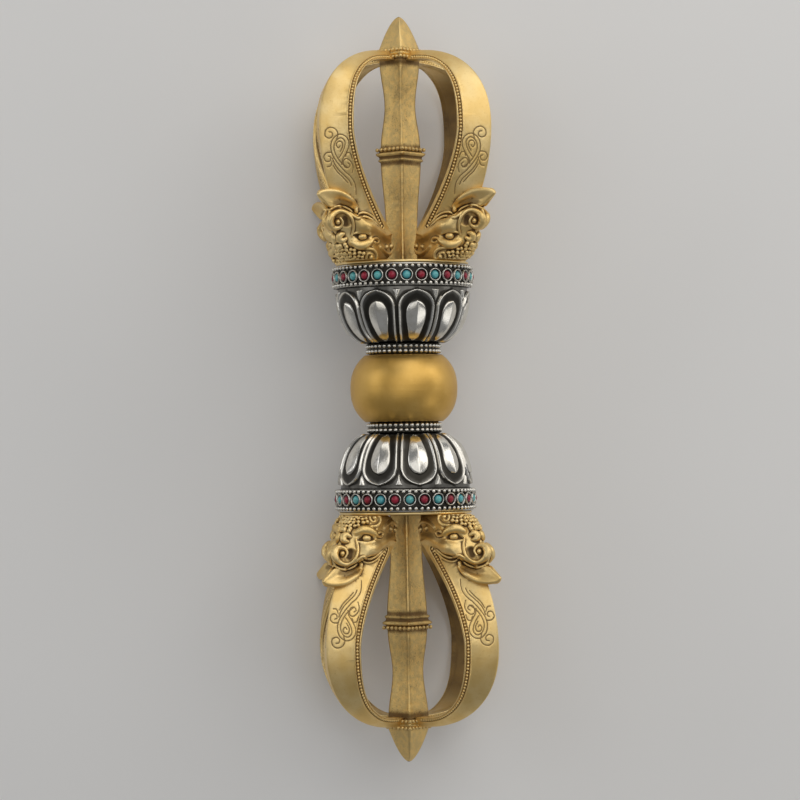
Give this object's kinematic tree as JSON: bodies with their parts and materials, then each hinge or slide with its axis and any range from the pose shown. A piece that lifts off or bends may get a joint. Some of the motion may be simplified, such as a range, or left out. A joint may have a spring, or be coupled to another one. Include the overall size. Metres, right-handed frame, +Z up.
{
  "type": "dorje vajra",
  "caption": "Ritual sceptre with a ball grip between two lotus cups, each carrying a straight prong caged by curved prongs that grow from sea-dragon heads.",
  "frame": {"origin": "middle of the ball grip, which is the centre of the whole object's box", "axes": "+X along the long axis toward the upper end in the picture, +Z up, with two curved prongs of each end on the table"},
  "size_m": [0.22, 0.0516, 0.0516],
  "materials": {
    "gilt_metal": "satin gilding, browner in the hollows",
    "oxidised_silver": "polished on the high places, black in the hollows",
    "steel": "plain, hidden inside",
    "turquoise": "polished cabochons",
    "coral": "polished cabochons"
  },
  "bodies": {
    "root": {"hub": "gilt_metal", "upper_prong_plate": "gilt_metal", "upper_center_prong": "gilt_metal", "upper_curved_prong_1": "gilt_metal", "upper_curved_prong_2": "gilt_metal", "upper_curved_prong_3": "gilt_metal", "upper_curved_prong_4": "gilt_metal", "lower_prong_plate": "gilt_metal", "lower_center_prong": "gilt_metal", "lower_curved_prong_1": "gilt_metal", "lower_curved_prong_2": "gilt_metal", "lower_curved_prong_3": "gilt_metal", "lower_curved_prong_4": "gilt_metal", "upper_collar": "oxidised_silver", "upper_collar_granules": "oxidised_silver", "upper_lotus_cup": "oxidised_silver", "upper_stone_band": "oxidised_silver", "upper_band_granules": "oxidised_silver", "upper_bezels": "oxidised_silver", "lower_collar": "oxidised_silver", "lower_collar_granules": "oxidised_silver", "lower_lotus_cup": "oxidised_silver", "lower_stone_band": "oxidised_silver", "lower_band_granules": "oxidised_silver", "lower_bezels": "oxidised_silver", "tie_rod": "steel", "upper_nut": "steel", "lower_nut": "steel", "upper_turquoise_stones": "turquoise", "lower_turquoise_stones": "turquoise", "upper_coral_stones": "coral", "lower_coral_stones": "coral"}
  },
  "joints": []
}
